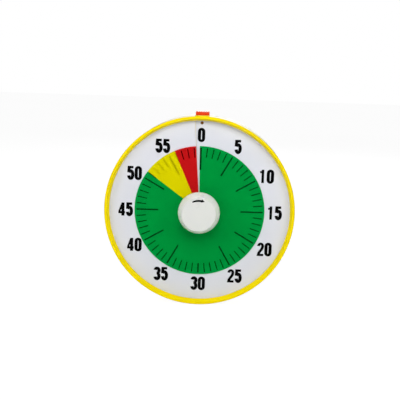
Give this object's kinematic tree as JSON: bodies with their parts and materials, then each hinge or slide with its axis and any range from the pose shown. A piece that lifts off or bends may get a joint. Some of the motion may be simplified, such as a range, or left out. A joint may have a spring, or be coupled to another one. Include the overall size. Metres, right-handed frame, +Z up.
{
  "type": "visual countdown timer",
  "caption": "Round wall or desk timer with a yellow rim, a numbered dial and a tinted disc that slides through a cut in the dial as the time runs down.",
  "frame": {"origin": "centre of the back face, on the shaft axis", "axes": "+X to the right as seen from the front, +Y through the clock from front to back, out of the back face, +Z up; the front faces -Y"},
  "size_m": [0.19, 0.0543, 0.1936],
  "materials": {
    "yellow_plastic": "moulded, semi-gloss yellow",
    "case_plastic": "moulded, satin warm white",
    "dial_sheet": "printed sheet, matt",
    "tinted_film": "tinted film in a green, a yellow and a red sector",
    "knob_plastic": "moulded, satin white",
    "red_plastic": "moulded, satin orange-red",
    "grey_plastic": "moulded, matt",
    "black_plastic": "moulded, matt",
    "gear_plastic": "acetal, satin",
    "board": "solder mask",
    "cell_jacket": "plain printed jacket",
    "steel": "plated",
    "brass": "plain",
    "copper_wire": "enamelled copper winding",
    "magnet": "sintered ferrite"
  },
  "bodies": {
    "case": {"bezel": "yellow_plastic", "front_case": "case_plastic", "rear_case": "case_plastic", "dial": "dial_sheet", "dial_screw": "brass", "idler_axle": "steel", "motor_can": "steel", "motor_plate": "steel", "motor_coil": "copper_wire", "movement_case": "grey_plastic", "movement_cover": "grey_plastic", "movement_screws": "steel", "zero_switch": "black_plastic", "return_spring": "steel", "circuit_board": "board", "button_switch": "black_plastic", "timer_chip": "black_plastic", "crystal": "steel", "sounder": "black_plastic", "sound_switch_body": "black_plastic", "battery": "cell_jacket", "contact_spring": "steel", "contact_plates": "steel", "leg_pin": "steel", "board_magnets": "magnet", "case_screws": "steel"},
    "knob_set": {"knob": "knob_plastic", "shaft": "steel", "zero_cam": "gear_plastic", "main_wheel": "gear_plastic", "clutch_spring": "steel", "retaining_ring": "steel"},
    "disc_set": {"timer_disc": "tinted_film", "disc_hub": "knob_plastic"},
    "idler": {"idler_wheel": "gear_plastic"},
    "rotor": {"rotor_magnet": "magnet", "rotor_shaft": "steel", "motor_pinion": "brass"},
    "button": {"stop_button": "red_plastic"},
    "slider": {"sound_slider": "grey_plastic"},
    "door": {"battery_door": "case_plastic"},
    "leg": {"stand_leg": "case_plastic"}
  },
  "joints": [
    {"name": "knob_turn", "type": "hinge", "parent": "case", "child": "knob_set", "pos_m": [0, 0, 0], "axis": [0, -1, 0], "range_deg": [-4.5, 355.5]},
    {"name": "disc_feed", "type": "slide", "parent": "knob_set", "child": "disc_set", "axis": [0, 1, 0], "range_m": [-0.00002, 0.0015]},
    {"name": "idler_turn", "type": "hinge", "parent": "case", "child": "idler", "pos_m": [-0.01273, 0, -0.01273], "axis": [0, -1, 0], "range_deg": [-1780, 23]},
    {"name": "motor_turn", "type": "hinge", "parent": "case", "child": "rotor", "pos_m": [-0.00373, 0, -0.02832], "axis": [0, -1, 0], "range_deg": [-115, 8900]},
    {"name": "button_press", "type": "slide", "parent": "case", "child": "button", "axis": [0, 0, -1], "range_m": [0, 0.0025], "stiffness_N_per_m": 400, "springref_m": -0.0005, "deforming": ["return_spring"]},
    {"name": "sound_switch", "type": "slide", "parent": "case", "child": "slider", "axis": [1, 0, 0], "range_m": [0, 0.005]},
    {"name": "door_hinge", "type": "hinge", "parent": "case", "child": "door", "pos_m": [0, -0.003, 0.029], "axis": [-1, 0, 0], "range_deg": [0, 90]},
    {"name": "leg_hinge", "type": "hinge", "parent": "case", "child": "leg", "pos_m": [0, -0.0027, -0.008], "axis": [1, 0, 0], "range_deg": [0, 22]}
  ],
  "couplings": [
    {"joint": "disc_feed", "follows": "knob_turn", "m_per_rad": 0.00023873},
    {"joint": "idler_turn", "follows": "knob_turn", "ratio": -5},
    {"joint": "motor_turn", "follows": "knob_turn", "ratio": 25}
  ]
}
